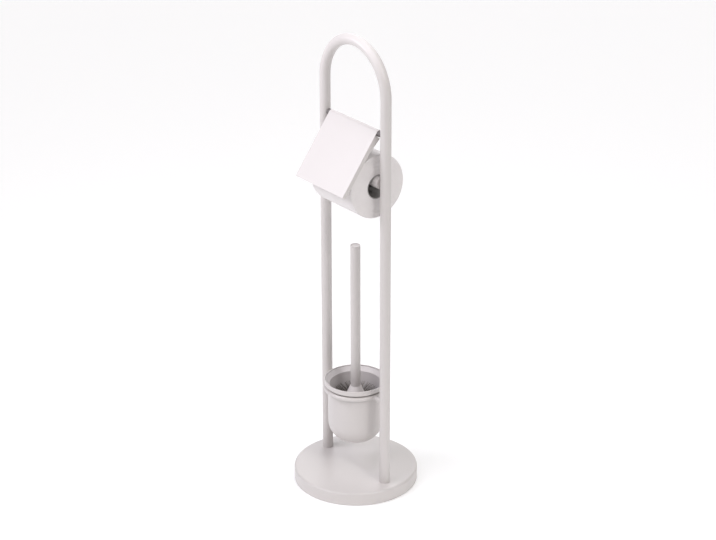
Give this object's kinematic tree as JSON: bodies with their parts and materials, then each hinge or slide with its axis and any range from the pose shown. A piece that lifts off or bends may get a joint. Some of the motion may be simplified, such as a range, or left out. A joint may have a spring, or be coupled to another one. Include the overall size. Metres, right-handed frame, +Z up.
{
  "type": "toilet roll and brush stand",
  "caption": "Free-standing bathroom stand: a weighted round base and bent tube frame with a hinged cover flap over a paper roll on a sprung spindle, and a brush in a hanging cup.",
  "frame": {"origin": "middle of the base at floor level", "axes": "+Z up along the stand's height; +X from the left leg to the right leg as seen from the front; -Y is the front, where the cover flap hangs"},
  "size_m": [0.2, 0.2, 0.752],
  "materials": {
    "powder_coat": "warm off-white powder coat, matte",
    "zinc_steel": "zinc-plated steel",
    "cast_iron": "raw cast iron, thinly varnished",
    "foam": "closed-cell foam rubber",
    "nylon": "moulded off-white plastic, satin",
    "grey_nylon": "moulded dark grey plastic, satin",
    "bristle_fibre": "dark grey nylon fibre",
    "tissue": "soft white tissue paper",
    "card": "grey-brown cardboard"
  },
  "bodies": {
    "stand": {"base_shell": "powder_coat", "base_weight": "cast_iron", "base_pad": "foam", "leg_screws": "zinc_steel", "leg_washers": "zinc_steel", "leg_plugs": "zinc_steel", "frame_tube": "powder_coat", "hinge_rod": "powder_coat", "cup_ring": "powder_coat"},
    "flap": {"cover_flap": "powder_coat", "flap_bushes": "grey_nylon"},
    "spindle": {"spindle_sleeve": "powder_coat", "sleeve_plug": "nylon", "spindle_spring": "zinc_steel"},
    "plunger": {"spindle_plunger": "zinc_steel", "plunger_plug": "nylon"},
    "roll": {"roll_core": "card", "paper_roll": "tissue"},
    "cup": {"cup_shell": "powder_coat", "cup_liner": "nylon"},
    "brush": {"brush_handle": "powder_coat", "handle_plug": "powder_coat", "handle_insert": "zinc_steel", "brush_collar": "nylon", "brush_core": "nylon", "bristles": "bristle_fibre"}
  },
  "joints": [
    {"name": "flap_hinge", "type": "hinge", "parent": "stand", "child": "flap", "pos_m": [0, 0, 0.612], "axis": [-1, 0, 0], "range_deg": [-3, 135]},
    {"name": "spindle_spin", "type": "hinge", "parent": "stand", "child": "spindle", "pos_m": [0, 0, 0.5333], "axis": [1, 0, 0], "continuous": true},
    {"name": "plunger_slide", "type": "slide", "parent": "spindle", "child": "plunger", "axis": [1, 0, 0], "range_m": [0, 0.008], "stiffness_N_per_m": 500, "springref_m": -0.02, "deforming": ["spindle_spring"]},
    {"name": "roll_spin", "type": "hinge", "parent": "stand", "child": "roll", "pos_m": [0, 0, 0.5248], "axis": [1, 0, 0], "continuous": true},
    {"name": "cup_turn", "type": "hinge", "parent": "stand", "child": "cup", "pos_m": [0, 0, 0.165], "axis": [0, 0, 1], "continuous": true},
    {"name": "brush_lift", "type": "slide", "parent": "cup", "child": "brush", "axis": [0, 0, 1], "range_m": [0, 0.062]}
  ]
}
